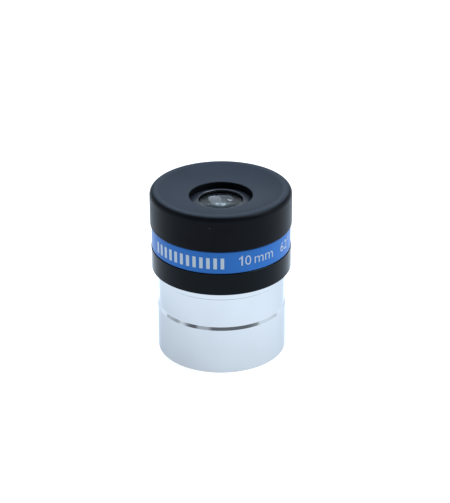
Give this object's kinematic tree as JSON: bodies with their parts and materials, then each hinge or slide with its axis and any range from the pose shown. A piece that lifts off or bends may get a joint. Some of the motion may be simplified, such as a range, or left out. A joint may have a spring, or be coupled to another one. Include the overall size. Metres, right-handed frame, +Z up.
{
  "type": "telescope eyepiece",
  "caption": "Telescope eyepiece: a dished rubber eyecup, a black housing with a blue label ring, and a chromed push-fit nose with an undercut.",
  "frame": {"origin": "centre of the nose's lower end face, on the optical axis", "axes": "+Z up the optical axis towards the eye; +X and +Y are square to it, with a grub screw along +X"},
  "size_m": [0.0344, 0.0344, 0.0423],
  "materials": {
    "chromed_nose": "bright chrome plate over turned brass",
    "matt_black_metal": "matt black anodised",
    "washer_plastic": "plain nylon",
    "black_housing": "smooth gloss black",
    "blue_label": "satin blue anodised, printed in silver",
    "adhesive": "thin adhesive film",
    "cup_rubber": "soft matt moulded rubber",
    "bezel_metal": "satin black anodised with a bright inner edge",
    "seal_rubber": "matt",
    "coated_glass": "polished, with a thin anti-reflection coating",
    "crown_glass": "polished",
    "flint_glass": "polished",
    "screw_steel": "blackened"
  },
  "bodies": {
    "nose": {"barrel": "chromed_nose", "baffle_sleeve": "matt_black_metal"},
    "washer": {"friction_washer": "washer_plastic"},
    "head": {"housing": "black_housing", "label_ring": "blue_label", "label_adhesive": "adhesive", "eye_bezel": "bezel_metal", "eye_seal": "seal_rubber", "eye_lens": "coated_glass", "eye_spacer": "matt_black_metal", "doublet_crown": "crown_glass", "doublet_flint": "flint_glass", "field_spacer": "matt_black_metal", "field_lens": "coated_glass", "lens_o_ring": "seal_rubber", "cell_retainer": "matt_black_metal", "lens_cell": "matt_black_metal", "field_stop": "matt_black_metal", "set_screws": "screw_steel"},
    "cup": {"eyecup": "cup_rubber"}
  },
  "joints": [
    {"name": "head_turn", "type": "hinge", "parent": "nose", "child": "washer", "pos_m": [0, 0, 0.0221], "axis": [0, 0, 1], "range_deg": [0, 1800]},
    {"name": "head_rise", "type": "slide", "parent": "washer", "child": "head", "axis": [0, 0, 1], "range_m": [0, 0.00375]},
    {"name": "eyecup_pull", "type": "slide", "parent": "head", "child": "cup", "axis": [0, 0, 1], "range_m": [0, 0.01]}
  ],
  "couplings": [
    {"joint": "head_rise", "follows": "head_turn", "m_per_rad": 0.00011937}
  ]
}
